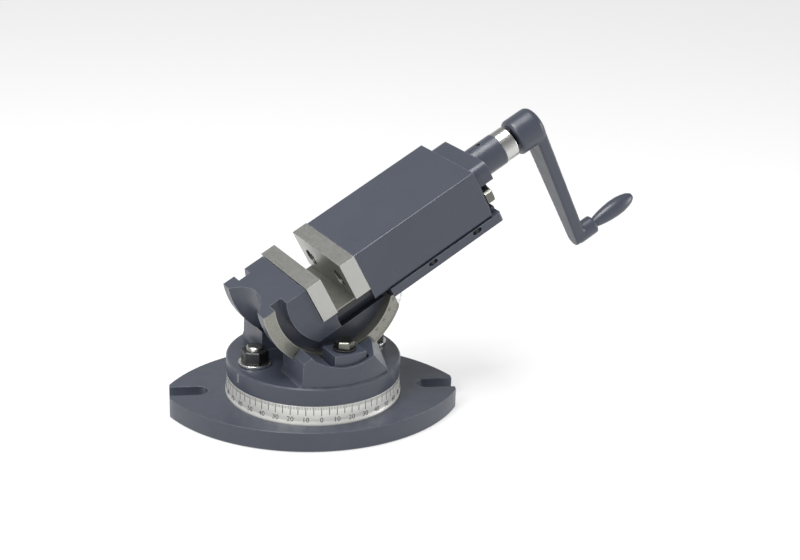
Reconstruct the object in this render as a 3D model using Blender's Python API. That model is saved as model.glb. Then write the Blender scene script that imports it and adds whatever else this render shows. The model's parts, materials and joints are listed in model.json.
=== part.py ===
"""Tilting and swivelling machine vise. Metres, +Z up, base on the ground plane, swivel axis at the origin."""

import math

import bmesh
import bpy
from mathutils import Matrix, Vector

MM = 0.001
GAP = 0.3
SHARP_ANGLE = math.radians(30)

# Base plate: two arcs and two cut-off tips with bolt slots.
BASE_HALF_LENGTH = 101.5
BASE_TIP_HALF_WIDTH = 11.5
BASE_HALF_WIDTH = 73.6
BASE_THICKNESS = 14.7
SOLE_HEIGHT = 0.6
SOLE_INSET = 1.0
SOLE_SLOT_MARGIN = 1.2
BASE_SLOT_WIDTH = 14.0
BASE_SLOT_DEPTH = 27.0
TURN_RADIUS = 61.5
RING_INNER = 55.0
RING_FLARE = 0.8
RING_SEAT_DEPTH = 0.8
RING_TOP = 28.3
BOSS_TOP = 28.3
T_SLOT_RADIUS = 45.0
T_SLOT_NARROW = 13.0
T_SLOT_WIDE = 21.0
T_SLOT_FLOOR = 12.0
T_SLOT_STEP = 20.0

# Turntable and cradle.
DISC_BOTTOM = 28.6
DISC_TOP = 41.2
SPIGOT_RADIUS = 16.0
CRADLE_RADIUS = 59.5
CRADLE_HALF_LENGTH = 33.4
POST_OUTER_Z = 58.3
POST_INNER_Z = 62.6
POST_TOP_HALF_LENGTH = 31.4
SADDLE_HALF = 18.0
WALL_ARC = 45.6
WALL_INNER = 35.8
SWIVEL = 20.1
TILT = 27.6
TILT_AXIS_X = -1.3
TILT_AXIS_Z = 100.0

# Clamp blocks in the cradle walls.
CLAMP_X = (-10.6, 13.2)
CLAMP_Y = (36.3, 58.0)
CLAMP_Z = (50.4, 62.3)
CLAMP_FRONT_RADIUS = 56.8
CLAMP_BOLT = (1.0, 46.0)
LIP_REACH = 27.0
LIP_RADII = (39.8, 44.2)

# Vise body, measured from the tilt axis: x along the bed, z square to it.
JAW_WIDTH = 75.0
SECTOR_RADIUS = 53.5
SECTOR_CORNER = 4.5
GROOVE_OUTER = 44.6
GROOVE_INNER = 36.0
WEB_HALF = 26.0
SIDE_HALF = 35.5
SIDE_BOTTOM = 25.0
SIDE_END = -7.2
WING_HALF = 34.8
CHANNEL_FLOOR = 42.8
CHANNEL_RADIUS = 35.0
JAW_TOP = 15.0
PLATE_TOP = 16.2
RAIL_TOP = -13.2
RAIL_BOTTOM = -18.2
RAIL_HALF = 34.5
RIB_HALF = 20.0
FLANGE_TOP = -23.0
FLANGE_BOTTOM = -29.9
FLANGE_HALF = 37.0
FLANGE_X = (35.5, 132.1)
SECTOR_END = 36.4
CORE_TOP = -31.5
FIXED_PLATE_X = (-16.9, -5.4)
MOVING_PLATE_X = (10.5, 22.5)
PLATE_HOLE_Y = 22.0
PLATE_HOLE_Z = -0.7
BOX_X = (22.8, 125.3)
BOX_HALF = 37.0
BOX_TOP = 16.0
BOX_WALL_X = 29.0
BOX_INNER_HALF = 33.2
BOX_INNER_TOP = 13.7
SKIRT_INNER = 34.8
SKIRT_BOTTOM = -22.7
BED_END = 125.5
END_WALL_X = 118.9
SCREW_Z = -1.7
BRACKET_X = (125.8, 139.4)
EAR_END = 128.3
BRACKET_HALF = 31.0
BRACKET_TOP = 13.2
BRACKET_SIDE_BOTTOM = -0.9
BARREL_RADIUS = 12.2
BARREL_END = 163.6
BRACKET_BOLT = (25.5, -11.4)
SIDE_SCREW_X = (71.4, 110.4)
SIDE_SCREW_Z = -25.2

# Screw and crank, measured along the screw from the same origin.
THREAD_RADIUS = 8.0
THREAD_X = (57.4, 118.6)
NECK_RADIUS = 6.0
COLLAR_X = (163.9, 175.2)
COLLAR_RADIUS = 12.0
NUT_X = (66.4, 84.4)
HUB_X = (177.1, 199.4)
HUB_RADIUS = 14.0
ARM_X = (190.4, 199.4)
CRANK_LENGTH = 102.3
ARM_TOP_WIDTH = 22.4
ARM_END_WIDTH = 13.6
BOSS_RADIUS = 7.4
BOSS_END = 211.0
PIN_RADIUS = 2.2
PIN_START = 194.5
GRIP_X = (211.4, 250.0)

PAINT = (0.070, 0.080, 0.105)
STEEL = (0.62, 0.62, 0.60)
BLACK = (0.02, 0.02, 0.022)
BRIGHT = (0.78, 0.78, 0.76)
BRONZE = (0.55, 0.38, 0.16)


def clear_scene():
    for obj in list(bpy.data.objects):
        bpy.data.objects.remove(obj)


def material(name, colour, metallic, roughness):
    made = bpy.data.materials.new(name)
    made.use_nodes = True
    shader = made.node_tree.nodes["Principled BSDF"]
    shader.inputs["Base Color"].default_value = (*colour, 1.0)
    shader.inputs["Metallic"].default_value = metallic
    shader.inputs["Roughness"].default_value = roughness
    return made


def empty(name, parent=None, location=(0, 0, 0), rotation=(0, 0, 0)):
    frame = bpy.data.objects.new(name, None)
    bpy.context.scene.collection.objects.link(frame)
    frame.parent = parent
    frame.location = Vector(location) * MM
    frame.rotation_euler = rotation
    return frame


def add(name, bm, parent, look=None):
    """Makes an object of the mesh, or a hidden cutter when it has no material."""
    bmesh.ops.recalc_face_normals(bm, faces=bm.faces[:])
    bmesh.ops.scale(bm, vec=(MM, MM, MM), verts=bm.verts[:])
    mesh = bpy.data.meshes.new(name)
    bm.to_mesh(mesh)
    bm.free()
    mesh.shade_smooth()
    mesh.set_sharp_from_angle(angle=SHARP_ANGLE)
    obj = bpy.data.objects.new(name, mesh)
    bpy.context.scene.collection.objects.link(obj)
    obj.parent = parent
    if look is None:
        obj.hide_render = True
        obj.display_type = "WIRE"
    else:
        mesh.materials.append(look)
    return obj


def combine(target, other, operation):
    step = target.modifiers.new(operation.title() + "_" + other.name, "BOOLEAN")
    step.operation = operation
    step.solver = "EXACT"
    step.object = other


def prism(outline, axis, low, high):
    """Straight extrusion of a closed outline along one axis; the outline holds the two other coordinates."""
    bm = bmesh.new()
    rings = []
    for level in (low, high):
        ring = []
        for a, b in outline:
            place = {"X": (level, a, b), "Y": (a, level, b), "Z": (a, b, level)}[axis]
            ring.append(bm.verts.new(place))
        rings.append(ring)
    bm.faces.new(rings[0])
    bm.faces.new(list(reversed(rings[1])))
    count = len(outline)
    for i in range(count):
        j = (i + 1) % count
        bm.faces.new((rings[0][i], rings[1][i], rings[1][j], rings[0][j]))
    return bm


def lathe(profile, axis, segments, centre=(0, 0, 0), turn=0.0):
    """Full turn of a (radius, height) profile about an axis; flat ends are one face."""
    bm = bmesh.new()
    rings = []
    for radius, height in profile:
        ring = []
        for i in range(segments if radius > 0 else 1):
            angle = 2 * math.pi * i / segments + turn
            a, b = radius * math.cos(angle), radius * math.sin(angle)
            place = {"X": (height, a, b), "Y": (a, height, b), "Z": (a, b, height)}[axis]
            ring.append(Vector(place) + Vector(centre))
        rings.append(ring)
    count = len(profile)
    places = []
    for k in range(count):
        flat = [profile[(k + step) % count] for step in (-1, 1)]
        hub = len(rings[k]) == 1 and any(r > 0 and h == profile[k][1] for r, h in flat)
        places.append([] if hub else [bm.verts.new(point) for point in rings[k]])
    for k in range(count):
        first, second = places[k], places[(k + 1) % count]
        if not first or not second:
            cap = first or second
            if len(cap) > 2:
                bm.faces.new(cap)
            continue
        if len(first) == 1 and len(second) == 1:
            continue
        for i in range(segments):
            j = (i + 1) % segments
            corners = [first[i % len(first)], first[j % len(first)]]
            corners += [second[j % len(second)], second[i % len(second)]]
            unique = []
            for corner in corners:
                if corner not in unique:
                    unique.append(corner)
            bm.faces.new(unique)
    return bm


def rod(radius, axis, low, high, segments=32, centre=(0, 0, 0), turn=0.0):
    profile = [(0, low), (radius, low), (radius, high), (0, high)]
    return lathe(profile, axis, segments, centre, turn)


def tube(inner, outer, axis, low, high, segments=32, centre=(0, 0, 0)):
    profile = [(inner, low), (outer, low), (outer, high), (inner, high)]
    return lathe(profile, axis, segments, centre)


def box(x, y, z):
    outline = [(x[0], y[0]), (x[1], y[0]), (x[1], y[1]), (x[0], y[1])]
    return prism(outline, "Z", z[0], z[1])


def arc(radius, start, end, steps, centre=(0, 0)):
    points = []
    for i in range(steps + 1):
        angle = math.radians(start + (end - start) * i / steps)
        points.append((centre[0] + radius * math.cos(angle), centre[1] + radius * math.sin(angle)))
    return points


def hexagon(across_flats, axis, low, high, centre, turn=0.0, chamfer=0.9):
    """Hexagonal head whose outer face at `high` is chamfered."""
    corner = across_flats / math.sqrt(3)
    step = chamfer if high > low else -chamfer
    profile = [(0, low), (corner, low), (corner, high - step), (corner - 1.4 * chamfer, high), (0, high)]
    return lathe(profile, axis, 6, centre, turn)


def mirrored(side, y):
    return (min(side * y[0], side * y[1]), max(side * y[0], side * y[1]))


def base_arcs(inset, steps):
    """Front and back arcs of the base's plan, moved inwards by the inset."""
    offset = (BASE_HALF_LENGTH**2 + BASE_TIP_HALF_WIDTH**2 - BASE_HALF_WIDTH**2) / (
        2 * (BASE_HALF_WIDTH - BASE_TIP_HALF_WIDTH)
    )
    radius = BASE_HALF_WIDTH + offset
    spread = math.degrees(math.asin(BASE_HALF_LENGTH / radius))
    front = arc(radius - inset, 270 - spread, 270 + spread, steps, (0, offset))
    back = arc(radius - inset, 90 - spread, 90 + spread, steps, (0, -offset))
    return front, back


def base_outline():
    front, back = base_arcs(0, 40)
    return front + back


def sole_outline():
    """Plan of the machined sole, which keeps clear of the base's edge and of its slots."""
    front, back = base_arcs(SOLE_INSET, 6)
    tip = front[-1][0]
    end = BASE_HALF_LENGTH - BASE_SLOT_DEPTH - SOLE_SLOT_MARGIN
    half = BASE_SLOT_WIDTH / 2 + SOLE_SLOT_MARGIN
    notch = [(tip, -half), (end, -half), (end, half), (tip, half)]
    return front + notch + back + [(-x, -y) for x, y in notch]


def slot_outline(side):
    half = BASE_SLOT_WIDTH / 2
    centre = BASE_HALF_LENGTH - BASE_SLOT_DEPTH + half
    points = arc(half, 90, 270, 12, (centre, 0))
    points += [(BASE_HALF_LENGTH + 4, -half), (BASE_HALF_LENGTH + 4, half)]
    return [(side * x, y) for x, y in points]


def build_base(frame, paint, bright):
    plate = add("base_plate", prism(base_outline(), "Z", SOLE_HEIGHT, BASE_THICKNESS), frame, paint)
    sole = prism(sole_outline(), "Z", 0, SOLE_HEIGHT + 1)
    combine(plate, add("cut_sole", sole, frame), "UNION")
    foot = TURN_RADIUS + RING_FLARE
    seat_floor = BASE_THICKNESS - RING_SEAT_DEPTH
    seat = tube(RING_INNER - 2, foot + GAP, "Z", seat_floor, BASE_THICKNESS + 1, 96)
    combine(plate, add("cut_ring_seat", seat, frame), "DIFFERENCE")
    boss = rod(RING_INNER - GAP, "Z", 6, BOSS_TOP, 96)
    combine(plate, add("cut_boss", boss, frame), "UNION")
    for side, label in ((-1, "left"), (1, "right")):
        slot = prism(slot_outline(side), "Z", -2, BASE_THICKNESS + 2)
        combine(plate, add("cut_base_slot_" + label, slot, frame), "DIFFERENCE")
    narrow, wide = T_SLOT_NARROW / 2, T_SLOT_WIDE / 2
    inner, outer = T_SLOT_RADIUS - narrow, T_SLOT_RADIUS + narrow
    track = lathe(
        [
            (inner, BOSS_TOP + 2), (inner, T_SLOT_STEP), (T_SLOT_RADIUS - wide, T_SLOT_STEP),
            (T_SLOT_RADIUS - wide, T_SLOT_FLOOR), (T_SLOT_RADIUS + wide * 0.85, T_SLOT_FLOOR),
            (T_SLOT_RADIUS + wide * 0.85, T_SLOT_STEP), (outer, T_SLOT_STEP), (outer, BOSS_TOP + 2),
        ],
        "Z", 72,
    )
    combine(plate, add("cut_t_track", track, frame), "DIFFERENCE")
    bore = rod(SPIGOT_RADIUS + GAP, "Z", 10, BOSS_TOP + 2, 48)
    combine(plate, add("cut_pivot_bore", bore, frame), "DIFFERENCE")
    low = seat_floor + GAP
    ring = lathe(
        [
            (RING_INNER, low), (foot, low), (foot, low + 1.2), (TURN_RADIUS + 0.3, low + 2.4),
            (TURN_RADIUS, low + 4.0), (TURN_RADIUS, RING_TOP), (RING_INNER, RING_TOP),
        ],
        "Z", 96,
    )
    add("scale_ring", ring, frame, bright)


def cradle_outline():
    """Side view of the cradle walls, seen square to the vise; the left end leans in from a small foot."""
    half = CRADLE_HALF_LENGTH
    inner = math.sqrt(WALL_ARC**2 - (TILT_AXIS_Z - POST_INNER_Z) ** 2)
    left = math.degrees(math.atan2(POST_INNER_Z - 2 - TILT_AXIS_Z, -inner + 2.9))
    right = math.degrees(math.atan2(POST_INNER_Z - TILT_AXIS_Z, inner))
    points = [(half, DISC_TOP - 1), (half, POST_OUTER_Z)]
    points += arc(WALL_ARC, right, left, 24, (TILT_AXIS_X, TILT_AXIS_Z))
    points += [(-inner + TILT_AXIS_X + 0.8, POST_INNER_Z + 0.6), (-POST_TOP_HALF_LENGTH, POST_OUTER_Z)]
    points += [(-POST_TOP_HALF_LENGTH - 0.5, DISC_TOP + 3.3), (-half, DISC_TOP), (-half, DISC_TOP - 1)]
    return points


def corner_cut(side):
    """Half-space that takes the outer right corner off a cradle wall."""
    normal = Vector((373, -203.5 * side, 253)).normalized()
    point = Vector((19.4, -56 * side, 57.8))
    bm = box((-60, 60), (-60, 60), (0, 60))
    turn = normal.to_track_quat("Z", "Y").to_matrix().to_4x4()
    bmesh.ops.transform(bm, matrix=Matrix.Translation(point) @ turn, verts=bm.verts[:])
    return bm


def build_turntable(frame, paint):
    disc = lathe(
        [
            (0, 10.4), (SPIGOT_RADIUS, 10.4), (SPIGOT_RADIUS, DISC_BOTTOM), (TURN_RADIUS, DISC_BOTTOM),
            (TURN_RADIUS, DISC_TOP - 0.8), (TURN_RADIUS - 0.8, DISC_TOP), (0, DISC_TOP),
        ],
        "Z", 96,
    )
    table = add("turntable", disc, frame, paint)
    walls = add("cut_cradle", prism(cradle_outline(), "Y", -62, 62), frame)
    combine(walls, add("cut_cradle_round", rod(CRADLE_RADIUS, "Z", 30, 80, 96), frame), "INTERSECT")
    trough = rod(SECTOR_RADIUS + GAP, "Y", -WALL_INNER, WALL_INNER, 96, (TILT_AXIS_X, 0, TILT_AXIS_Z))
    combine(walls, add("cut_trough", trough, frame), "DIFFERENCE")
    passage = box((-70, 70), (-SADDLE_HALF, SADDLE_HALF), (DISC_TOP, 90))
    combine(walls, add("cut_passage", passage, frame), "DIFFERENCE")
    for side, label in ((1, "near"), (-1, "far")):
        combine(walls, add("cut_corner_" + label, corner_cut(side), frame), "DIFFERENCE")
        y = mirrored(-side, (CLAMP_Y[0] - 2, CLAMP_Y[1] + 5))
        pocket = box((CLAMP_X[0] - 3.4, CLAMP_X[1] + 3.0), y, (CLAMP_Z[0] - GAP, 80))
        notch = add("cut_notch_" + label, pocket, frame)
        lip = rod(CLAMP_FRONT_RADIUS + GAP, "Z", 40, 90, 96)
        combine(notch, add("cut_notch_round_" + label, lip, frame), "INTERSECT")
        combine(walls, notch, "DIFFERENCE")
        place = (CLAMP_BOLT[0], -side * CLAMP_BOLT[1], 0)
        hole = rod(4.2, "Z", DISC_TOP + 0.5, 60, 24, place, 0.05)
        combine(walls, add("cut_clamp_hole_" + label, hole, frame), "DIFFERENCE")
    combine(table, walls, "UNION")
    for side, label in ((-1, "left"), (1, "right")):
        hole = rod(6.4, "Z", DISC_BOTTOM - 2, DISC_TOP + 2, 32, (side * T_SLOT_RADIUS, 0, 0), 0.05)
        combine(table, add("cut_t_bolt_hole_" + label, hole, frame), "DIFFERENCE")


def build_swivel_bolts(frame, black, bright):
    for side, label in ((-1, "left"), (1, "right")):
        place = (side * T_SLOT_RADIUS, 0, 0)
        head = T_SLOT_STEP - GAP
        profile = [
            (0, 14.0), (8.2, 14.0), (8.2, head), (5.8, head), (5.8, 54.0), (4.9, 54.9), (0, 54.9),
        ]
        add("t_bolt_" + label, lathe(profile, "Z", 24, place), frame, black)
        washer = tube(6.2, 11.4, "Z", DISC_TOP + GAP, DISC_TOP + 2.3, 40, place)
        add("t_washer_" + label, washer, frame, bright)
        nut = hexagon(17, "Z", DISC_TOP + 2.6, DISC_TOP + 11.2, place, 0.43)
        nut = add("t_nut_" + label, nut, frame, black)
        combine(nut, add("cut_nut_bore_" + label, rod(6.1, "Z", 38, 60, 24, place), frame), "DIFFERENCE")


def build_clamps(frame, paint, black):
    for side, label in ((-1, "near"), (1, "far")):
        y = mirrored(side, CLAMP_Y)
        block = add("clamp_" + label, box(CLAMP_X, y, CLAMP_Z), frame, paint)
        round_off = rod(CLAMP_FRONT_RADIUS, "Z", 40, 70, 96)
        combine(block, add("cut_clamp_round_" + label, round_off, frame), "INTERSECT")
        low, high = LIP_RADII
        spread = (261.0, 286.0)
        centre = (TILT_AXIS_X, TILT_AXIS_Z)
        outline = arc(high, spread[0], spread[1], 8, centre) + arc(low, spread[1], spread[0], 8, centre)
        lip = prism(outline, "Y", *mirrored(side, (LIP_REACH, CLAMP_Y[0] + 3)))
        combine(block, add("cut_lip_" + label, lip, frame), "UNION")
        place = (CLAMP_BOLT[0], side * CLAMP_BOLT[1], 0)
        hole = rod(4.5, "Z", 45, 70, 24, place)
        combine(block, add("cut_block_hole_" + label, hole, frame), "DIFFERENCE")
        top = CLAMP_Z[1]
        add("clamp_washer_" + label, tube(4.5, 8.1, "Z", top + GAP, top + 1.6, 36, place), frame, black)
        bolt = add("clamp_bolt_" + label, hexagon(12.4, "Z", top + 1.9, top + 6.8, place, 0.54), frame, black)
        shank = rod(3.9, "Z", DISC_TOP + 1, top + 4, 24, place)
        combine(bolt, add("cut_clamp_shank_" + label, shank, frame), "UNION")


def sector_rim():
    """Outer edge of the half-round part, from the jaw's top round to its blunted right end."""
    start = 180 - math.degrees(math.asin(JAW_TOP / SECTOR_RADIUS))
    centre = SECTOR_END - SECTOR_CORNER
    height = math.sqrt((SECTOR_RADIUS - SECTOR_CORNER) ** 2 - centre**2)
    end = 360 - math.degrees(math.atan2(height, centre))
    return arc(SECTOR_RADIUS, start, end, 44) + arc(SECTOR_CORNER, end, 360, 6, (centre, -height))


def sector_core():
    """Outline of the half-round part with the fixed jaw on it."""
    points = sector_rim()
    points += [(SECTOR_END, CORE_TOP), (SIDE_END, CORE_TOP), (SIDE_END, RAIL_TOP)]
    points += [(FIXED_PLATE_X[0] - GAP, RAIL_TOP), (FIXED_PLATE_X[0] - GAP, JAW_TOP)]
    return points


def side_face():
    """Outline of the raised round face on each side of the fixed jaw."""
    start = 180 - math.degrees(math.asin(JAW_TOP / GROOVE_INNER))
    end = 180 + math.degrees(math.asin(SIDE_BOTTOM / GROOVE_INNER))
    points = arc(GROOVE_INNER, start, end, 16)
    points += [(SIDE_END, -SIDE_BOTTOM), (SIDE_END, RAIL_TOP), (FIXED_PLATE_X[0] - GAP, RAIL_TOP)]
    points += [(FIXED_PLATE_X[0] - GAP, JAW_TOP)]
    return points


def wing_ring():
    inner_start = 180 - math.degrees(math.asin(JAW_TOP / GROOVE_OUTER))
    inner_end = 360 - math.degrees(math.asin(-(FLANGE_BOTTOM + 0.8) / GROOVE_OUTER))
    points = sector_rim()
    points += [(SECTOR_END, FLANGE_BOTTOM + 0.8)]
    points += arc(GROOVE_OUTER, inner_end, inner_start, 36)
    return points


def flange_outline():
    """Plan of the flange, with its two end corners rounded."""
    radius = 2.2
    low, high = FLANGE_X
    corner = (high - radius, FLANGE_HALF - radius)
    right = arc(radius, 0, 90, 5, corner)
    return [(x, -y) for x, y in reversed(right)] + right + [(low, FLANGE_HALF), (low, -FLANGE_HALF)]


def channel_profile():
    """Cross-section of the hollow groove round the rim, as (radius, y)."""
    low = CHANNEL_FLOOR + CHANNEL_RADIUS
    points = [(low - math.sqrt(CHANNEL_RADIUS**2 - (k * 5.5) ** 2), k * 5.5) for k in range(-5, 6)]
    return points + [(SECTOR_RADIUS + 3, 27.5), (SECTOR_RADIUS + 3, -27.5)]


def build_vise_body(frame, paint):
    body = add("vise_body", prism(sector_core(), "Y", -WEB_HALF, WEB_HALF), frame, paint)
    combine(body, add("cut_wings", prism(wing_ring(), "Y", -WING_HALF, WING_HALF), frame), "UNION")
    channel = lathe(channel_profile(), "Y", 96)
    combine(body, add("cut_channel", channel, frame), "DIFFERENCE")
    combine(body, add("cut_side_face", prism(side_face(), "Y", -SIDE_HALF, SIDE_HALF), frame), "UNION")
    rail = box((-12, BED_END), (-RAIL_HALF, RAIL_HALF), (RAIL_BOTTOM, RAIL_TOP))
    combine(body, add("cut_rail", rail, frame), "UNION")
    rib = box((-11, BED_END), (-RIB_HALF, RIB_HALF), (FLANGE_BOTTOM, RAIL_BOTTOM + 1))
    combine(body, add("cut_rib", rib, frame), "UNION")
    neck = box((-11, SECTOR_END - 0.4), (-RIB_HALF, RIB_HALF), (CORE_TOP - 3, FLANGE_BOTTOM + 1))
    combine(body, add("cut_neck", neck, frame), "UNION")
    flange = prism(flange_outline(), "Z", FLANGE_BOTTOM, FLANGE_TOP)
    combine(body, add("cut_flange", flange, frame), "UNION")
    wall = box((END_WALL_X, BED_END), (-30.5, 30.5), (RAIL_BOTTOM + 1, 7))
    combine(body, add("cut_end_wall", wall, frame), "UNION")
    bore = rod(NECK_RADIUS + GAP, "X", 110, BED_END + 2, 32, (0, 0, SCREW_Z), 0.05)
    combine(body, add("cut_screw_bore", bore, frame), "DIFFERENCE")
    for side, label in ((-1, "near"), (1, "far")):
        place = (0, side * BRACKET_BOLT[0], BRACKET_BOLT[1])
        hole = rod(3.6, "X", 112, BED_END + 2, 20, place)
        combine(body, add("cut_end_hole_" + label, hole, frame), "DIFFERENCE")
        place = (0, side * PLATE_HOLE_Y, PLATE_HOLE_Z)
        hole = rod(3.3, "X", -34, FIXED_PLATE_X[0] + 2, 20, place)
        combine(body, add("cut_fixed_hole_" + label, hole, frame), "DIFFERENCE")
        for number, x in enumerate(SIDE_SCREW_X, 1):
            outline = arc(1.7, 90, 270, 8, (x - 2.2, SIDE_SCREW_Z))
            outline += arc(1.7, 270, 450, 8, (x + 2.2, SIDE_SCREW_Z))
            pocket = prism(outline, "Y", *mirrored(side, (FLANGE_HALF - 2.6, FLANGE_HALF + 2)))
            combine(body, add("cut_pocket_%s_%d" % (label, number), pocket, frame), "DIFFERENCE")


def build_side_screws(frame, black):
    for side, label in ((-1, "near"), (1, "far")):
        for number, x in enumerate(SIDE_SCREW_X, 1):
            low, high = mirrored(side, (FLANGE_HALF - 2.3, FLANGE_HALF - 0.5))
            screw = rod(1.4, "Y", low, high, 20, (x, 0, SIDE_SCREW_Z))
            add("side_screw_%s_%d" % (label, number), screw, frame, black)


def build_jaw_plate(name, frame, x, face, steel, black):
    """Hardened jaw plate with two countersunk screws; face is +1 when it grips towards +x."""
    half = JAW_WIDTH / 2
    plate = add(name, box(x, (-half, half), (RAIL_TOP + GAP, PLATE_TOP)), frame, steel)
    front = x[1] if face > 0 else x[0]
    for side, label in ((-1, "near"), (1, "far")):
        place = (0, side * PLATE_HOLE_Y, PLATE_HOLE_Z)
        cut = [
            (0, front + face), (6.6, front + face), (6.6, front - 0.9 * face), (3.3, front - 4.2 * face),
            (3.3, front - 14 * face), (0, front - 14 * face),
        ]
        combine(plate, add("cut_%s_%s" % (name, label), lathe(cut, "X", 32, place), frame), "DIFFERENCE")
        head = [
            (0, front - 1.1 * face), (5.8, front - 1.1 * face), (5.8, front - 1.3 * face),
            (3.0, front - 4.2 * face), (3.0, front - 17 * face), (0, front - 17 * face),
        ]
        screw = add("%s_screw_%s" % (name, label), lathe(head, "X", 32, place), frame, black)
        socket = hexagon(4, "X", front - 4 * face, front + 1 * face, place, chamfer=0.0)
        combine(screw, add("cut_socket_%s_%s" % (name, label), socket, frame), "DIFFERENCE")


def box_outline():
    """Cross-section of the movable jaw, rounded along its top edges."""
    radius = 1.0
    side = BOX_HALF
    right = arc(radius, 0, 90, 4, (side - radius, BOX_TOP - radius))
    left = [(-y, z) for y, z in reversed(right)]
    skirt = [(side - 1.6, SKIRT_BOTTOM), (side, SKIRT_BOTTOM + 2.3)]
    return [(-y, z) for y, z in reversed(skirt)] + skirt + right + left


def build_movable_jaw(frame, paint, bronze, black):
    jaw = add("movable_jaw", prism(box_outline(), "X", *BOX_X), frame, paint)
    hollow = box((BOX_WALL_X, 130), (-BOX_INNER_HALF, BOX_INNER_HALF), (RAIL_TOP + GAP, BOX_INNER_TOP))
    combine(jaw, add("cut_hollow", hollow, frame), "DIFFERENCE")
    skirt = box((10, 130), (-SKIRT_INNER, SKIRT_INNER), (SKIRT_BOTTOM - 5, RAIL_TOP + 2 * GAP))
    combine(jaw, add("cut_skirt", skirt, frame), "DIFFERENCE")
    for side, label in ((-1, "near"), (1, "far")):
        place = (0, side * PLATE_HOLE_Y, PLATE_HOLE_Z)
        hole = rod(3.3, "X", 12, BOX_WALL_X + 2, 20, place)
        combine(jaw, add("cut_moving_hole_" + label, hole, frame), "DIFFERENCE")
        y = mirrored(side, (RIB_HALF + 1, SKIRT_INNER - GAP))
        add("keeper_" + label, box((31, 95), y, (FLANGE_TOP + 0.5, RAIL_BOTTOM - GAP)), frame, black)
    nut = add("screw_nut", box(NUT_X, (-13, 13), (RAIL_TOP + 0.8, BOX_INNER_TOP - GAP)), frame, bronze)
    bore = rod(THREAD_RADIUS + GAP, "X", 60, 90, 32, (0, 0, SCREW_Z))
    combine(nut, add("cut_nut_thread", bore, frame), "DIFFERENCE")


def bracket_outline():
    """End view of the bracket: rounded shoulders over narrower ears."""
    radius = 7.0
    side = BRACKET_HALF
    shoulder = arc(radius, 0, 90, 6, (side - radius, BRACKET_TOP - radius))
    right = [(side, BRACKET_SIDE_BOTTOM)] + shoulder
    return right + [(-y, z) for y, z in reversed(right)]


def build_bracket(frame, paint, black):
    bracket = add("end_bracket", prism(bracket_outline(), "X", *BRACKET_X), frame, paint)
    ears = box((BRACKET_X[0], EAR_END), (-BRACKET_HALF, BRACKET_HALF), (FLANGE_TOP + GAP, 5))
    combine(bracket, add("cut_ears", ears, frame), "UNION")
    foot = box((BRACKET_X[0], 131.4), (-BRACKET_HALF, BRACKET_HALF), (FLANGE_TOP + GAP, -19.2))
    combine(bracket, add("cut_foot", foot, frame), "UNION")
    core = box(BRACKET_X, (-14, 14), (-15, 5))
    combine(bracket, add("cut_core", core, frame), "UNION")
    barrel = rod(BARREL_RADIUS, "X", BRACKET_X[0] + 1, BARREL_END, 48, (0, 0, SCREW_Z))
    combine(bracket, add("cut_barrel", barrel, frame), "UNION")
    bore = rod(NECK_RADIUS + GAP, "X", 120, 170, 32, (0, 0, SCREW_Z))
    combine(bracket, add("cut_barrel_bore", bore, frame), "DIFFERENCE")
    oil = rod(1.7, "Z", SCREW_Z + 3, 20, 16, (151.4, 0, 0), 0.1)
    combine(bracket, add("cut_oil_hole", oil, frame), "DIFFERENCE")
    for side, label in ((-1, "near"), (1, "far")):
        place = (0, side * BRACKET_BOLT[0], BRACKET_BOLT[1])
        hole = rod(4.3, "X", 120, 134, 20, place)
        combine(bracket, add("cut_ear_hole_" + label, hole, frame), "DIFFERENCE")
        head = hexagon(13, "X", EAR_END + GAP, EAR_END + 6.5, place, math.pi / 6)
        bolt = add("bracket_bolt_" + label, head, frame, black)
        shank = rod(3.3, "X", 114, 131, 20, place)
        combine(bolt, add("cut_bracket_shank_" + label, shank, frame), "UNION")


def build_screw(frame, bright):
    """Screw with its collar; its frame lies on the screw axis."""
    low, high = THREAD_X
    profile = [
        (0, low), (THREAD_RADIUS - 1.2, low), (THREAD_RADIUS, low + 1.5), (THREAD_RADIUS, high),
        (NECK_RADIUS, high), (NECK_RADIUS, COLLAR_X[0]), (COLLAR_RADIUS, COLLAR_X[0]),
        (COLLAR_RADIUS, COLLAR_X[1] - 1), (COLLAR_RADIUS - 1, COLLAR_X[1]), (NECK_RADIUS, COLLAR_X[1]),
        (NECK_RADIUS, ARM_X[1] - 1.5), (0, ARM_X[1] - 1.5),
    ]
    add("lead_screw", lathe(profile, "X", 48), frame, bright)


def arm_outline():
    """Front view of the crank arm, tapering from the hub to a round end."""
    upper = arc(ARM_TOP_WIDTH / 2, 4, 176, 14)
    lower = arc(ARM_END_WIDTH / 2, 184, 356, 12, (0, -CRANK_LENGTH))
    return upper + lower


def build_crank(frame, paint):
    arm = add("crank_arm", prism(arm_outline(), "X", *ARM_X), frame, paint)
    low, high = HUB_X
    hub = [(0, low), (HUB_RADIUS - 1.2, low), (HUB_RADIUS, low + 1.2)]
    hub += [(HUB_RADIUS - 4 + r, high - 4 + x) for r, x in arc(4, 0, 78, 5)] + [(0, high - 0.1)]
    combine(arm, add("cut_hub", lathe(hub, "X", 48), frame), "UNION")
    boss = rod(BOSS_RADIUS, "X", ARM_X[0] + 4, BOSS_END, 32, (0, 0, -CRANK_LENGTH))
    combine(arm, add("cut_grip_boss", boss, frame), "UNION")
    combine(arm, add("cut_hub_bore", rod(NECK_RADIUS + GAP, "X", 170, 200, 32), frame), "DIFFERENCE")
    pin_hole = rod(PIN_RADIUS + GAP, "X", PIN_START - GAP, BOSS_END + 4, 24, (0, 0, -CRANK_LENGTH))
    combine(arm, add("cut_pin_hole", pin_hole, frame), "DIFFERENCE")


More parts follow.
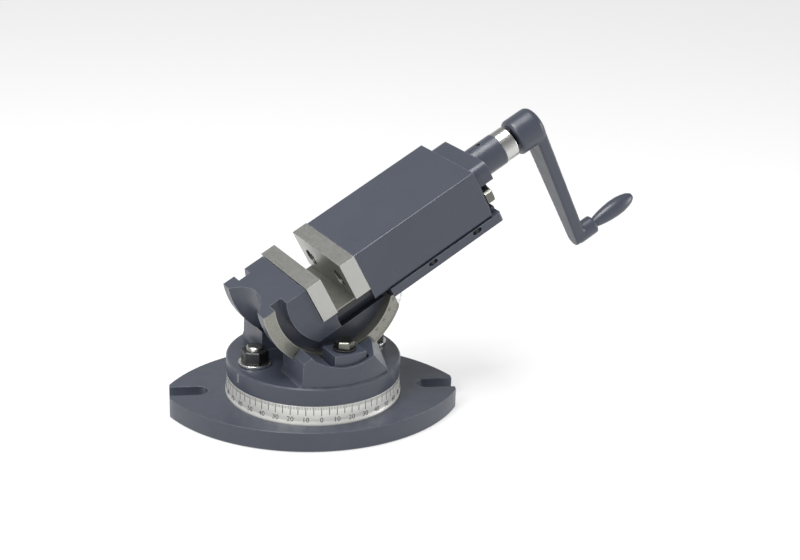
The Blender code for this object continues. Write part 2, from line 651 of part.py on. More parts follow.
def build_grip(frame, paint, bright):
    """Grip and its pin; their frame lies on the pin's axis."""
    add("grip_pin", rod(PIN_RADIUS, "X", PIN_START, GRIP_X[1] - 6, 24), frame, bright)
    low, high = GRIP_X
    profile = [(PIN_RADIUS + GAP, low), (3.6, low), (4.7, low + 4), (5.5, low + 8), (6.3, low + 14)]
    profile += [(6.7, low + 20), (6.5, low + 26), (5.6, low + 31), (4.4, low + 35), (2.4, low + 38)]
    profile += [(0, high), (0, high - 5.5), (PIN_RADIUS + GAP, high - 5.5)]
    add("grip", lathe(profile, "X", 32), frame, paint)


def main():
    clear_scene()
    paint = material("blue_grey_paint", PAINT, 0.0, 0.35)
    steel = material("ground_steel", STEEL, 1.0, 0.35)
    bright = material("bright_steel", BRIGHT, 1.0, 0.25)
    black = material("black_oxide", BLACK, 0.7, 0.45)
    bronze = material("bronze", BRONZE, 1.0, 0.4)
    build_base(None, paint, bright)
    swivel = empty("swivel_frame", None, (0, 0, 0), (0, 0, math.radians(SWIVEL)))
    build_turntable(swivel, paint)
    build_swivel_bolts(swivel, black, bright)
    build_clamps(swivel, paint, black)
    tilt = empty("tilt_frame", swivel, (TILT_AXIS_X, 0, TILT_AXIS_Z), (0, -math.radians(TILT), 0))
    build_vise_body(tilt, paint)
    build_side_screws(tilt, black)
    build_jaw_plate("fixed_jaw_plate", tilt, FIXED_PLATE_X, 1, steel, black)
    build_bracket(tilt, paint, black)
    build_movable_jaw(tilt, paint, bronze, black)
    build_jaw_plate("moving_jaw_plate", tilt, MOVING_PLATE_X, -1, steel, black)
    screw = empty("screw_frame", tilt, (0, 0, SCREW_Z))
    build_screw(screw, bright)
    build_crank(screw, paint)
    grip = empty("grip_frame", screw, (0, 0, -CRANK_LENGTH))
    build_grip(grip, paint, bright)


main()
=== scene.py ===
"""Looks of the tilting and swivelling machine vise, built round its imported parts. Metres, +Z up."""

import json
import math

import bmesh
import bpy
from mathutils import Matrix, Vector


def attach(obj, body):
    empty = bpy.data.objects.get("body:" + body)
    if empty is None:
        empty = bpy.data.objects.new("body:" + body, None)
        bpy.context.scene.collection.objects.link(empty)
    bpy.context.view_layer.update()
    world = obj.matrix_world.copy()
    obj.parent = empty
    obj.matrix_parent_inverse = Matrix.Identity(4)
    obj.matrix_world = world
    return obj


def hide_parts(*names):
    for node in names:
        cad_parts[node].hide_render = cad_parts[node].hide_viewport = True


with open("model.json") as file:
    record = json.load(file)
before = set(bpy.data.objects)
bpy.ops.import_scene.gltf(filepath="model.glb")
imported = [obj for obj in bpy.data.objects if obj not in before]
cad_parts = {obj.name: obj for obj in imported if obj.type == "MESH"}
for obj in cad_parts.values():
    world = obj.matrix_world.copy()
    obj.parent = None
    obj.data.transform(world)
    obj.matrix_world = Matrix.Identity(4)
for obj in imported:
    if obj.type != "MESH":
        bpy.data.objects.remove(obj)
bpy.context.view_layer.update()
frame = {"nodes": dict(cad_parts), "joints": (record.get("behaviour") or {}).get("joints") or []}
NODES = frame["nodes"]
JOINTS = {joint["name"]: joint for joint in frame["joints"]}
MM = 0.001

# Frames of the moving parts: the tilt frame's x runs along the bed and its z is square to it.
U = Vector(JOINTS["jaw_slide"]["axis"]).normalized()
V = -Vector(JOINTS["tilt"]["axis"]).normalized()
N = U.cross(V).normalized()
TILT = Matrix.Translation(Vector(JOINTS["tilt"]["pos_m"])) @ Matrix((U, V, N)).transposed().to_4x4()
SWIVEL = Matrix.Rotation(math.atan2(-V.x, V.y), 4, "Z")
WORLD = Matrix.Identity(4)


# ---------------------------------------------------------------- node helpers


class Graph:
    """Short way to write a material's or a world's nodes."""

    def __init__(self, tree):
        self.tree = tree

    def node(self, kind, **settings):
        made = self.tree.nodes.new(kind)
        for name, value in settings.items():
            setattr(made, name, value)
        return made

    def put(self, socket, value):
        if hasattr(value, "links"):
            self.tree.links.new(value, socket)
        else:
            socket.default_value = value

    def math(self, operation, a, b=0.0, clamp=False):
        made = self.node("ShaderNodeMath", operation=operation, use_clamp=clamp)
        self.put(made.inputs[0], a)
        self.put(made.inputs[1], b)
        return made.outputs[0]

    def vector(self, operation, a, b=(0, 0, 0)):
        made = self.node("ShaderNodeVectorMath", operation=operation)
        self.put(made.inputs[0], a)
        if operation not in ("LENGTH", "NORMALIZE"):
            self.put(made.inputs[1], b)
        return made.outputs["Value" if operation in ("DOT_PRODUCT", "LENGTH") else "Vector"]

    def between(self, value, low, high):
        """1 where the value lies between the two limits, and 0 elsewhere."""
        above = self.math("GREATER_THAN", value, low)
        return self.math("MULTIPLY", above, self.math("LESS_THAN", value, high))

    def length(self, a, b):
        square = self.math("ADD", self.math("MULTIPLY", a, a), self.math("MULTIPLY", b, b))
        return self.math("SQRT", square)

    def ramp(self, value, low, high, to_low=0.0, to_high=1.0):
        made = self.node("ShaderNodeMapRange", clamp=True)
        for socket, given in zip(made.inputs, (value, low, high, to_low, to_high)):
            self.put(socket, given)
        return made.outputs[0]

    def mix(self, factor, a, b, blend="MIX"):
        made = self.node("ShaderNodeMix", data_type="RGBA", blend_type=blend)
        self.put(made.inputs[0], factor)
        self.put(made.inputs[6], a if hasattr(a, "links") else (*a[:3], 1.0))
        self.put(made.inputs[7], b if hasattr(b, "links") else (*b[:3], 1.0))
        return made.outputs[2]

    def noise(self, place, scale, detail=3.0, rough=0.5):
        made = self.node("ShaderNodeTexNoise")
        self.put(made.inputs["Vector"], place)
        made.inputs["Scale"].default_value = scale
        made.inputs["Detail"].default_value = detail
        made.inputs["Roughness"].default_value = rough
        return made.outputs[0]


def start(name):
    made = bpy.data.materials.new(name)
    made.use_nodes = True
    graph = Graph(made.node_tree)
    shader = made.node_tree.nodes["Principled BSDF"]
    place = graph.node("ShaderNodeTexCoord").outputs["Object"]
    return made, graph, shader, place


def edge_wear(graph, radius, low=0.02, high=0.16):
    """0 on flat ground, 1 on sharp convex or concave edges."""
    rounded = graph.node("ShaderNodeBevel", samples=6)
    rounded.inputs["Radius"].default_value = radius
    normal = graph.node("ShaderNodeNewGeometry").outputs["Normal"]
    near = graph.vector("DOT_PRODUCT", rounded.outputs[0], normal)
    return graph.ramp(graph.math("SUBTRACT", 1.0, near), low, high)


def bump(graph, shader, height, distance, strength=1.0):
    made = graph.node("ShaderNodeBump")
    made.inputs["Strength"].default_value = strength
    made.inputs["Distance"].default_value = distance
    graph.put(made.inputs["Height"], height)
    graph.put(shader.inputs["Normal"], made.outputs[0])


def along(graph, place, matrix):
    """Coordinates in millimetres in the frame of that matrix."""
    inverse = matrix.inverted()
    rows = [tuple(inverse[i][j] for j in range(3)) for i in range(3)]
    made = graph.node("ShaderNodeCombineXYZ")
    for i, row in enumerate(rows):
        value = graph.vector("DOT_PRODUCT", place, row)
        value = graph.math("ADD", value, inverse[i][3])
        graph.put(made.inputs[i], graph.math("MULTIPLY", value, 1000.0))
    return made.outputs[0]


def split(graph, vector):
    made = graph.node("ShaderNodeSeparateXYZ")
    graph.put(made.inputs[0], vector)
    return made.outputs


# ---------------------------------------------------------------- materials


PAINT_TONE = (0.047, 0.054, 0.074)
# Pale edge tone of the paint: partly worn paint, partly a painted highlight along rounded edges.
EDGE_TONE = (0.20, 0.22, 0.245)
# Near-black painted shade for the jaw plates' screw recesses and the screw's neck past its collar.
PAINTED_SHADE_TONE = (0.010, 0.010, 0.011)


def shade(tone, factor):
    return [channel * factor for channel in tone]


def paint_nodes(graph, place, tone):
    """Colour, roughness and height of blue-grey paint over sand-cast iron."""
    broad = graph.noise(place, 26.0, 3.0)
    patch = graph.noise(place, 120.0, 4.0)
    grain = graph.noise(place, 1500.0, 3.0, 0.6)
    colour = graph.mix(graph.ramp(broad, 0.3, 0.7), shade(tone, 0.93), shade(tone, 1.07))
    colour = graph.mix(graph.ramp(patch, 0.52, 0.75, 0.0, 0.5), colour, shade(tone, 0.86))
    colour = graph.mix(graph.ramp(grain, 0.35, 0.7, 0.0, 0.16), colour, shade(tone, 1.25))
    rough = graph.ramp(patch, 0.25, 0.75, 0.27, 0.38)
    height = graph.math("ADD", graph.math("MULTIPLY", grain, 0.35), graph.math("MULTIPLY", patch, 0.65))
    return colour, rough, height


def worn_paint(graph, colour, place):
    """The paint's colour with its edges made pale, partly as worn paint and partly as a painted highlight on
    the rounded edges, more in some places than in others.
    """
    edge = edge_wear(graph, 0.0011, 0.012, 0.11)
    broken = graph.ramp(graph.noise(place, 190.0, 3.0), 0.30, 0.62, 0.12, 1.0)
    wear_and_highlight = graph.math("MULTIPLY", graph.math("MULTIPLY", edge, broken), 0.62)
    # Pale edges: worn paint and painted highlight.
    return graph.mix(wear_and_highlight, colour, EDGE_TONE), edge


def make_paint():
    made, graph, shader, place = start("blue_grey_paint")
    colour, rough, height = paint_nodes(graph, place, PAINT_TONE)
    colour, _ = worn_paint(graph, colour, place)
    graph.put(shader.inputs["Base Color"], colour)
    graph.put(shader.inputs["Roughness"], rough)
    bump(graph, shader, height, 0.00006)
    return made


# Screw recesses of the jaw plates and the end of the screw's collar, in millimetres in the tilt frame.
# Painted shade darkens the recesses and the neck past the collar.
RECESS_Y = 22.0
RECESS_Z = -0.7
RECESS_RADIUS = 6.55
COLLAR_END = 175.3


def recess_mask(graph, local):
    """1 inside the two countersunk screw recesses of a jaw plate, which get painted shade."""
    _, y, z = split(graph, local)
    across = graph.math("SUBTRACT", graph.math("ABSOLUTE", y), RECESS_Y)
    up = graph.math("ADD", z, -RECESS_Z)
    return graph.math("LESS_THAN", graph.length(across, up), RECESS_RADIUS)


def neck_mask(graph, local):
    """1 on the neck of the screw past its collar, which gets painted shade."""
    return graph.math("GREATER_THAN", split(graph, local)[0], COLLAR_END)


def make_steel(name, tone, roughness, grain, matrix=WORLD, metal=1.0, dark=None):
    """Machined steel; grain stretches the tool marks along the frame's axes, and dark masks the places that
    get painted shade.
    """
    made, graph, shader, place = start(name)
    local = along(graph, place, matrix)
    marks = graph.noise(graph.vector("MULTIPLY", local, grain), 1.0, 4.0, 0.6)
    broad = graph.noise(place, 60.0, 3.0)
    colour = graph.mix(graph.ramp(marks, 0.3, 0.7), shade(tone, 0.88), shade(tone, 1.06))
    colour = graph.mix(graph.ramp(broad, 0.4, 0.75, 0.0, 0.5), colour, shade(tone, 0.9))
    edge = edge_wear(graph, 0.0004)
    colour = graph.mix(graph.math("MULTIPLY", edge, 0.6), colour, (0.86, 0.86, 0.84))
    if dark:
        # Painted shade: near black in the screw recesses and in the shadowed gap past the collar.
        colour = graph.mix(dark(graph, local), colour, PAINTED_SHADE_TONE)
    graph.put(shader.inputs["Base Color"], colour)
    shader.inputs["Metallic"].default_value = metal
    graph.put(shader.inputs["Roughness"], graph.ramp(marks, 0.25, 0.75, *roughness))
    bump(graph, shader, marks, 0.00002)
    return made


def make_black():
    made, graph, shader, place = start("black_oxide")
    fine = graph.noise(place, 900.0, 3.0)
    broad = graph.noise(place, 160.0, 3.0)
    colour = graph.mix(graph.ramp(broad, 0.35, 0.7), (0.016, 0.016, 0.018), (0.034, 0.034, 0.036))
    edge = graph.math("MULTIPLY", edge_wear(graph, 0.0005), graph.ramp(broad, 0.3, 0.6, 0.4, 1.0))
    colour = graph.mix(graph.math("MULTIPLY", edge, 0.55), colour, (0.42, 0.41, 0.39))
    graph.put(shader.inputs["Base Color"], colour)
    shader.inputs["Metallic"].default_value = 0.55
    graph.put(shader.inputs["Roughness"], graph.ramp(fine, 0.3, 0.7, 0.3, 0.46))
    bump(graph, shader, fine, 0.00002)
    return made


# Bare and black places on the vise body, in millimetres in the tilt frame.
WING_FACE = (34.3, 35.2)
WING_INSIDE = (26.4, 35.2)
WING_FROM = 44.2
BORE_TO = 45.0
RIM_TO = 53.9
BAND_TOP = 14.6
BORE_TOP = -20.0
RAIL_FACE_Z = (-13.7, -12.7)
RAIL_SIDE = (33.0, 34.7)
RAIL_SIDE_Z = (-18.6, -13.5)
RAIL_FROM = -6.0


def bare_mask(graph, local):
    """1 on the machined rims of the round sides and on the rail between the jaws."""
    x, y, z = split(graph, local)
    radius = graph.length(x, z)
    wide = graph.math("ABSOLUTE", y)
    bore = graph.math("LESS_THAN", radius, BORE_TO)
    bore = graph.math("MULTIPLY", bore, graph.between(wide, *WING_INSIDE))
    bore = graph.math("MULTIPLY", bore, graph.math("LESS_THAN", z, BORE_TOP))
    band = graph.math("MAXIMUM", graph.between(wide, *WING_FACE), bore)
    band = graph.math("MULTIPLY", band, graph.between(radius, WING_FROM, RIM_TO))
    band = graph.math("MULTIPLY", band, graph.math("LESS_THAN", z, BAND_TOP))
    top = graph.math("MULTIPLY", graph.between(z, *RAIL_FACE_Z), graph.math("GREATER_THAN", x, RAIL_FROM))
    return graph.math("MAXIMUM", band, top, clamp=True)


def rail_side_mask(graph, local):
    """1 on the sides of the rail, which are coloured nearly black."""
    x, y, z = split(graph, local)
    side = graph.between(graph.math("ABSOLUTE", y), *RAIL_SIDE)
    side = graph.math("MULTIPLY", side, graph.between(z, *RAIL_SIDE_Z))
    return graph.math("MULTIPLY", side, graph.math("GREATER_THAN", x, RAIL_FROM))


def make_vise_paint():
    """Paint with bare machined steel where the body slides or carries a scale."""
    made, graph, shader, place = start("sector_paint_and_steel")
    local = along(graph, place, TILT)
    bare = bare_mask(graph, local)
    colour, rough, height = paint_nodes(graph, place, PAINT_TONE)
    colour, edge = worn_paint(graph, colour, place)
    marks = graph.noise(graph.vector("MULTIPLY", local, (0.9, 0.9, 3.0)), 1.0, 4.0, 0.6)
    steel = graph.mix(graph.ramp(marks, 0.3, 0.7), (0.19, 0.19, 0.165), (0.30, 0.30, 0.265))
    steel = graph.mix(graph.math("MULTIPLY", edge, 0.5), steel, (0.60, 0.60, 0.55))
    black = graph.math("MULTIPLY", rail_side_mask(graph, local), 0.85)
    colour = graph.mix(black, colour, (0.006, 0.006, 0.007))
    graph.put(shader.inputs["Base Color"], graph.mix(bare, colour, steel))
    graph.put(shader.inputs["Metallic"], graph.math("MULTIPLY", bare, 0.75))
    graph.put(shader.inputs["Roughness"], graph.math("ADD", rough, graph.math("MULTIPLY", bare, 0.02)))
    bump(graph, shader, height, 0.00005)
    return made


# ---------------------------------------------------------------- shapes


SHARP = math.radians(32)


def smooth_group():
    """Geometry nodes that smooth the shading except over edges sharper than the angle."""
    tree = bpy.data.node_groups.new("smooth_by_angle", "GeometryNodeTree")
    tree.interface.new_socket("Geometry", in_out="INPUT", socket_type="NodeSocketGeometry")
    tree.interface.new_socket("Geometry", in_out="OUTPUT", socket_type="NodeSocketGeometry")
    given = tree.nodes.new("NodeGroupInput")
    result = tree.nodes.new("NodeGroupOutput")
    faces = tree.nodes.new("GeometryNodeSetShadeSmooth")
    edges = tree.nodes.new("GeometryNodeSetShadeSmooth")
    edges.domain = "EDGE"
    edges.inputs["Shade Smooth"].default_value = False
    angle = tree.nodes.new("GeometryNodeInputMeshEdgeAngle")
    sharp = tree.nodes.new("FunctionNodeCompare")
    sharp.operation = "GREATER_THAN"
    sharp.inputs[1].default_value = SHARP
    tree.links.new(given.outputs[0], faces.inputs["Geometry"])
    tree.links.new(faces.outputs[0], edges.inputs["Geometry"])
    tree.links.new(angle.outputs[0], sharp.inputs[0])
    tree.links.new(sharp.outputs[0], edges.inputs["Selection"])
    tree.links.new(edges.outputs[0], result.inputs[0])
    return tree


SMOOTH = smooth_group()


def soften(obj, width):
    """Rounds the sharp edges of a mesh to that width in millimetres, and evens its shading."""
    weld = obj.modifiers.new("weld", "WELD")
    weld.merge_threshold = 0.000004
    flat = obj.modifiers.new("flat", "DECIMATE")
    flat.decimate_type = "DISSOLVE"
    flat.angle_limit = math.radians(0.6)
    edge = obj.modifiers.new("bevel", "BEVEL")
    edge.width = width * MM
    edge.segments = 3
    edge.limit_method = "ANGLE"
    edge.angle_limit = SHARP
    edge.use_clamp_overlap = True
    group = obj.modifiers.new("smooth", "NODES")
    group.node_group = SMOOTH
    even = obj.modifiers.new("even", "WEIGHTED_NORMAL")
    even.keep_sharp = True
    even.weight = 60


def cast_shape(name, material, voxel, turns):
    """Gives a part the rounded corners and fillets of a casting."""
    obj = NODES[name]
    obj.data.materials.clear()
    obj.data.materials.append(material)
    skin = obj.modifiers.new("skin", "REMESH")
    skin.mode = "VOXEL"
    skin.voxel_size = voxel * MM
    skin.use_smooth_shade = True
    round_off = obj.modifiers.new("round_off", "SMOOTH")
    round_off.factor = 0.5
    round_off.iterations = turns


def finish_node(name, material, width):
    obj = NODES[name]
    obj.data.materials.clear()
    obj.data.materials.append(material)
    soften(obj, width)


def new_piece(name, bm, body, material, matrix=WORLD):
    """Object from a bmesh in millimetres in the given frame."""
    bm.normal_update()
    mesh = bpy.data.meshes.new(name)
    bm.to_mesh(mesh)
    bm.free()
    mesh.transform(matrix @ Matrix.Scale(MM, 4))
    obj = bpy.data.objects.new(name, mesh)
    bpy.context.scene.collection.objects.link(obj)
    mesh.materials.append(material)
    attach(obj, body)
    return obj


# ---------------------------------------------------------------- scales


def add_block(bm, corners):
    """Closed block from its eight corners, the lower ring first."""
    v = [bm.verts.new(c) for c in corners]
    for ring in ((3, 2, 1, 0), (4, 5, 6, 7), (0, 1, 5, 4), (1, 2, 6, 5), (2, 3, 7, 6), (3, 0, 4, 7)):
        bm.faces.new([v[i] for i in ring])


def on_ring(radius, angle, z):
    return Vector((radius * math.cos(angle), radius * math.sin(angle), z))


def ring_tick(bm, degrees, width, low, high):
    """Thin raised mark on the graduated ring or on the turntable's rim above it."""
    mid = math.radians(degrees)
    half = width / 2 / RING_RADIUS
    inner, outer = RING_RADIUS - 0.3, RING_RADIUS + TICK_PROUD
    corners = []
    for z in (low, high):
        corners += [on_ring(inner, mid - half, z), on_ring(outer, mid - half, z)]
        corners += [on_ring(outer, mid + half, z), on_ring(inner, mid + half, z)]
    add_block(bm, corners)


def number_mesh(text, size, depth):
    """Flat number centred on the origin in the xy plane, as a bmesh in millimetres."""
    curve = bpy.data.curves.new("number", "FONT")
    curve.body = text
    curve.size = size
    curve.align_x = "CENTER"
    curve.align_y = "CENTER"
    curve.extrude = depth / 2
    curve.resolution_u = 3
    curve.offset = -0.006 * size
    obj = bpy.data.objects.new("number", curve)
    bpy.context.scene.collection.objects.link(obj)
    graph = bpy.context.evaluated_depsgraph_get()
    mesh = bpy.data.meshes.new_from_object(obj.evaluated_get(graph))
    bpy.data.objects.remove(obj)
    bm = bmesh.new()
    bm.from_mesh(mesh)
    bmesh.ops.remove_doubles(bm, verts=bm.verts[:], dist=0.0005)
    return bm


def merge(bm, other):
    mesh = bpy.data.meshes.new("merge")
    other.to_mesh(mesh)
    other.free()
    bm.from_mesh(mesh)
    bpy.data.meshes.remove(mesh)


# Graduated ring and tilt scale, in millimetres and degrees. The flare holds (height, radius) points.
TICK_PROUD = 0.03
RING_RADIUS = 61.5
RING_TOP = 28.3
RING_NUMBER_HEIGHT = 18.3
RING_NUMBER_SIZE = 5.0
NUMBER_SINK = 0.24
RING_FLARE = ((14.2, 62.3), (15.4, 62.3), (16.6, 61.8), (18.2, 61.5), (30.0, 61.5))


def ring_surface(z):
    """Radius of the graduated ring at that height."""
    for (low, inner), (high, outer) in zip(RING_FLARE, RING_FLARE[1:]):
        if z <= high:
            return inner + (outer - inner) * (z - low) / (high - low)
    return RING_RADIUS


SECTOR_ZERO = 267.4
SECTOR_HALF = 34.8
SECTOR_TICK_RADIUS = 53.1
SECTOR_NUMBER_RADIUS = 46.8
SECTOR_NUMBER_SIZE = 2.7
T_BOLT_OFFSET = 45.0
THREAD_START = 43.0
THREAD_PITCH = 1.25
THREAD_TURNS = 9
GRUB_PLACE = (65.0, -98.9, 14.7)
POINTER_ANGLE = -152.5


def turned(profile, segments):
    """Body of revolution about z from (radius, height) points that start and end on the axis."""
    bm = bmesh.new()
    rings = []
    for radius, height in profile:
        count = segments if radius > 0 else 1
        angles = [2 * math.pi * i / count for i in range(count)]
        rings.append([bm.verts.new((radius * math.cos(a), radius * math.sin(a), height)) for a in angles])
    for low, high in zip(rings, rings[1:]):
        for i in range(segments):
            corners = [low[i % len(low)], low[(i + 1) % len(low)]]
            corners += [high[(i + 1) % len(high)], high[i % len(high)]]
            bm.faces.new(list(dict.fromkeys(corners)))
    bmesh.ops.recalc_face_normals(bm, faces=bm.faces[:])
    return bm


def ring_number(degree):
    """Number beside the mark at that angle: it counts 0 to 90 and back to 0 on each side."""
    if degree <= 90:
        return degree
    return abs(180 - degree) if degree <= 270 else 360 - degree


def build_ring_scale(ink):
    ticks = bmesh.new()
    for degree in range(360):
        long = degree % 5 == 0
        reach = 6.9 if degree % 10 == 0 else 6.3 if long else 2.4
        width = 0.48 if long else 0.30
        ring_tick(ticks, degree, width, RING_TOP - reach, RING_TOP - 0.35)
    new_piece("ring_ticks", ticks, "base", ink)
    numbers = bmesh.new()
    for degree in range(0, 360, 10):
        bm = number_mesh(str(ring_number(degree)), RING_NUMBER_SIZE, 0.6)
        for vert in bm.verts:
            angle = math.radians(-90 + degree) + vert.co.x / RING_RADIUS
            height = RING_NUMBER_HEIGHT + vert.co.y
            vert.co = on_ring(ring_surface(height) - NUMBER_SINK + vert.co.z, angle, height)
        merge(numbers, bm)
    new_piece("ring_numbers", numbers, "base", ink)


def sector_ticks(bm, side):
    """Marks from 5 to 55 degrees on one side of the round part."""
    for degree in range(5, 56):
        angle = math.radians(SECTOR_ZERO + degree)
        reach = 3.4 if degree % 10 == 0 else 2.6 if degree % 5 == 0 else 1.6
        inner, outer = SECTOR_TICK_RADIUS - reach, SECTOR_TICK_RADIUS
        half_width = Vector((-math.sin(angle), 0, math.cos(angle))) * 0.11
        corners = []
        for y in (side * (SECTOR_HALF - 0.2), side * (SECTOR_HALF + TICK_PROUD)):
            for radius, turn in ((inner, -1), (outer, -1), (outer, 1), (inner, 1)):
                point = Vector((radius * math.cos(angle), y, radius * math.sin(angle)))
                corners.append(point + half_width * turn)
        add_block(bm, corners)


def sector_numbers(bm, side):
    """Numbers of the marks at every ten degrees, with their tops towards the tilt axis."""
    for degree in range(10, 51, 10):
        angle = math.radians(SECTOR_ZERO + degree)
        number = number_mesh(str(degree), SECTOR_NUMBER_SIZE, 0.3)
        for vert in number.verts:
            across = Vector((-math.sin(angle), 0, math.cos(angle))) * vert.co.x * -side
            outward = Vector((math.cos(angle), 0, math.sin(angle))) * (SECTOR_NUMBER_RADIUS - vert.co.y)
            vert.co = across + outward + Vector((0, side * (SECTOR_HALF - 0.12 + vert.co.z), 0))
        merge(bm, number)


def build_sector_scale(ink):
    """Degrees of tilt on the bare steel rims of the round sides."""
    for side, label in ((-1, "near"), (1, "far")):
        bm = bmesh.new()
        sector_ticks(bm, side)
        sector_numbers(bm, side)
        bmesh.ops.recalc_face_normals(bm, faces=bm.faces[:])
        new_piece("tilt_scale_" + label, bm, "vise_body", ink, TILT)


def build_studs(steel):
    """T-bolts with the thread cut on their ends."""
    for side, label in ((-1, "left"), (1, "right")):
        profile = [(0, 14.0), (8.2, 14.0), (8.2, 19.7), (5.7, 19.7), (5.7, THREAD_START)]
        for k in range(THREAD_TURNS):
            z = THREAD_START + THREAD_PITCH * k
            profile += [(5.15, z + 0.62), (5.75, z + THREAD_PITCH)]
        profile += [(4.9, 54.9), (0, 54.9)]
        place = SWIVEL @ Matrix.Translation((side * T_BOLT_OFFSET * MM, 0, 0))
        stud = new_piece("stud_" + label, turned(profile, 40), "turntable", steel, place)
        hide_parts("t_bolt_" + label)


def build_ring_screw(black):
    """Small grub screw at the ring's foot."""
    profile = [(0, -0.6), (1.2, -0.6), (1.2, 0.06), (0.6, 0.06), (0.6, -0.4), (0, -0.4)]
    radius, angle, height = GRUB_PLACE
    spot = on_ring(radius, math.radians(angle), height) * MM
    bm = turned(profile, 20)
    new_piece("ring_screw", bm, "base", black, Matrix.Translation(spot))


def build_pointer(mark):
    """Pale mark on the turntable's rim."""
    bm = bmesh.new()
    ring_tick(bm, POINTER_ANGLE, 0.7, 33.2, 39.4)
    new_piece("zero_mark", bm, "turntable", mark)


# ---------------------------------------------------------------- scene


# Light from all round, and soft lamps as (name, place, size, power).
AMBIENT = 0.43
LAMPS = (
    ("key", (-0.85, -1.0, 1.15), (0.7, 0.7), 12.0),
    ("overhead", (-0.25, -0.1, 1.35), (0.75, 0.5), 15.0),
    ("right", (1.3, -0.15, 0.35), (0.35, 0.8), 6.0),
)
LAMP_TARGET = (0.03, 0, 0.1)

# Camera: its place, and the directions of its right, its top and its back.
CAMERA_PLACE = (-0.09985, -1.01406, 0.49051)
CAMERA_RIGHT = (0.98907, -0.14430, 0.03029)
CAMERA_UP = (0.02399, 0.36021, 0.93256)
CAMERA_BACK = (-0.14548, -0.92164, 0.35973)
CAMERA_LENS = 70.70


def blend(graph, factor, off, on):
    """The value called off where the factor is 0, and the value called on where it is 1."""
    rest = graph.math("SUBTRACT", 1.0, factor)
    return graph.math("ADD", graph.math("MULTIPLY", factor, on), graph.math("MULTIPLY", rest, off))


def build_world():
    world = bpy.data.worlds.new("studio")
    bpy.context.scene.world = world
    world.use_nodes = True
    graph = Graph(world.node_tree)
    shader = world.node_tree.nodes["Background"]
    direction = graph.node("ShaderNodeTexCoord").outputs["Generated"]
    x, _, z = split(graph, direction)
    path = graph.node("ShaderNodeLightPath")
    glossy, camera = path.outputs["Is Glossy Ray"], path.outputs["Is Camera Ray"]
    shiny = graph.ramp(z, -0.05, 0.6, 0.95, 0.30)
    shiny = graph.math("MULTIPLY", shiny, graph.ramp(x, -0.9, 0.6, 1.2, 0.85))
    diffuse = graph.ramp(z, -0.1, 0.9, AMBIENT * 0.85, AMBIENT * 1.1)
    strength = blend(graph, glossy, diffuse, shiny)
    strength = blend(graph, camera, strength, 1.0)
    shader.inputs["Color"].default_value = (1.0, 1.0, 1.0, 1.0)
    graph.put(shader.inputs["Strength"], strength)


def area_light(name, place, size, power):
    light = bpy.data.lights.new(name, "AREA")
    light.energy = power
    light.shape = "RECTANGLE"
    light.size, light.size_y = size
    obj = bpy.data.objects.new(name, light)
    bpy.context.scene.collection.objects.link(obj)
    obj.location = place
    obj.rotation_euler = (Vector(LAMP_TARGET) - Vector(place)).to_track_quat("-Z", "Y").to_euler()


def build_stage():
    build_world()
    for lamp in LAMPS:
        area_light(*lamp)
    bm = bmesh.new()
    bmesh.ops.create_circle(bm, cap_ends=True, segments=96, radius=6.0)
    mesh = bpy.data.meshes.new("floor")
    bm.to_mesh(mesh)
    bm.free()
    floor = bpy.data.objects.new("floor", mesh)
    bpy.context.scene.collection.objects.link(floor)
    made, _, shader, _ = start("pale_floor")
    shader.inputs["Base Color"].default_value = (0.40, 0.40, 0.40, 1.0)
    shader.inputs["Roughness"].default_value = 0.9
    shader.inputs["Specular IOR Level"].default_value = 0.1
    shader.inputs["Emission Color"].default_value = (1.0, 1.0, 1.0, 1.0)
    shader.inputs["Emission Strength"].default_value = 0.58
    mesh.materials.append(made)


def build_camera():
    data = bpy.data.cameras.new("camera")
    data.sensor_width = 36.0
    data.lens = CAMERA_LENS
    data.clip_start, data.clip_end = 0.05, 20.0
    obj = bpy.data.objects.new("camera", data)
    bpy.context.scene.collection.objects.link(obj)
    turn = Matrix((CAMERA_RIGHT, CAMERA_UP, CAMERA_BACK)).transposed()
    obj.matrix_world = Matrix.Translation(CAMERA_PLACE) @ turn.to_4x4()
    bpy.context.scene.camera = obj
    bpy.context.scene.view_settings.view_transform = "Standard"


def make_flat(name, tone, roughness):
    made, _, shader, _ = start(name)
    shader.inputs["Base Color"].default_value = (*tone, 1.0)
    shader.inputs["Roughness"].default_value = roughness
    return made


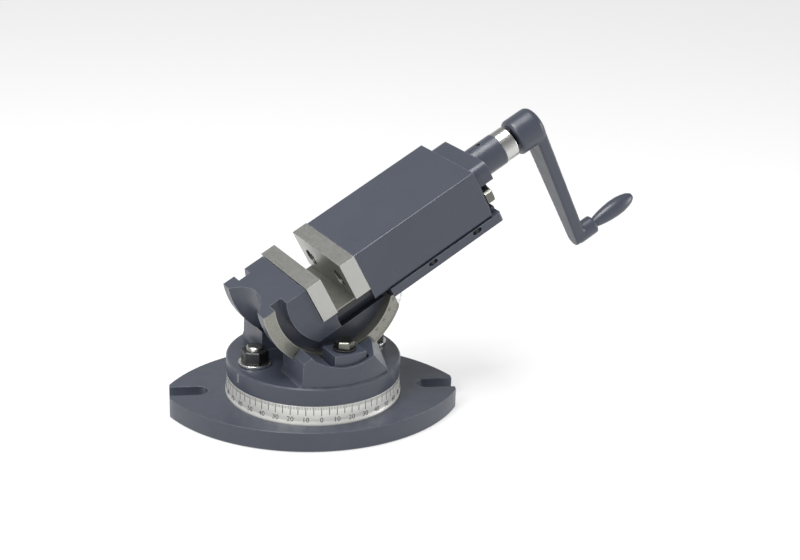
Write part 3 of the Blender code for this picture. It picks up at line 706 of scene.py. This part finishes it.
def dress_nodes(paint, black):
    """Gives each CAD part its material and the rounding of its edges, in millimetres."""
    vise_paint = make_vise_paint()
    ring = make_steel("ring_steel", (0.77, 0.765, 0.73), (0.36, 0.5), (0.25, 0.25, 9.0), metal=0.5)
    grain = (0.7, 0.35, 4.0)
    jaw = make_steel("ground_steel", (0.45, 0.45, 0.43), (0.34, 0.48), grain, TILT, dark=recess_mask)
    grain = (6.0, 0.4, 0.4)
    bright = make_steel("bright_steel", (0.58, 0.58, 0.565), (0.2, 0.34), grain, TILT, dark=neck_mask)
    washer = make_steel("washer_steel", (0.78, 0.78, 0.76), (0.2, 0.34), (2.0, 2.0, 2.0))
    bolt = make_steel("oiled_steel", (0.16, 0.16, 0.14), (0.22, 0.36), (2.0, 2.0, 2.0))
    bronze = make_steel("bronze", (0.42, 0.28, 0.12), (0.35, 0.5), (3.0, 0.5, 0.5), TILT)
    looks = (
        ("t_nut", black, 0.25), ("t_washer", washer, 0.3), ("clamp_bolt", bolt, 0.3),
        ("bracket_bolt", bolt, 0.3), ("clamp_washer", black, 0.2), ("side_screw", black, 0.2),
        ("keeper", black, 0.2), ("fixed_jaw_plate_screw", black, 0.2),
        ("moving_jaw_plate_screw", black, 0.2), ("fixed_jaw_plate", jaw, 0.3),
        ("moving_jaw_plate", jaw, 0.3), ("scale_ring", ring, 0.2), ("lead_screw", bright, 0.3),
        ("grip_pin", bright, 0.3), ("screw_nut", bronze, 0.3), ("vise_body", vise_paint, 0.6),
        ("base_plate", paint, 0.9), ("turntable", paint, 0.9), ("clamp_", paint, 0.9), ("", paint, 0.6),
    )
    for name in NODES:
        if name == "crank_arm":
            cast_shape(name, paint, 0.6, 26)
        elif not name.startswith("t_bolt"):
            material, width = next(look[1:] for look in looks if name.startswith(look[0]))
            finish_node(name, material, width)


def main():
    build_camera()
    build_stage()
    black = make_black()
    dress_nodes(make_paint(), black)
    ink = make_flat("scale_ink", (0.03, 0.03, 0.032), 0.7)
    build_ring_scale(ink)
    build_ring_screw(black)
    build_sector_scale(ink)
    build_studs(make_steel("stud_steel", (0.46, 0.45, 0.42), (0.22, 0.36), (2.0, 2.0, 2.0)))
    build_pointer(make_flat("pale_mark", (0.42, 0.45, 0.46), 0.6))


main()
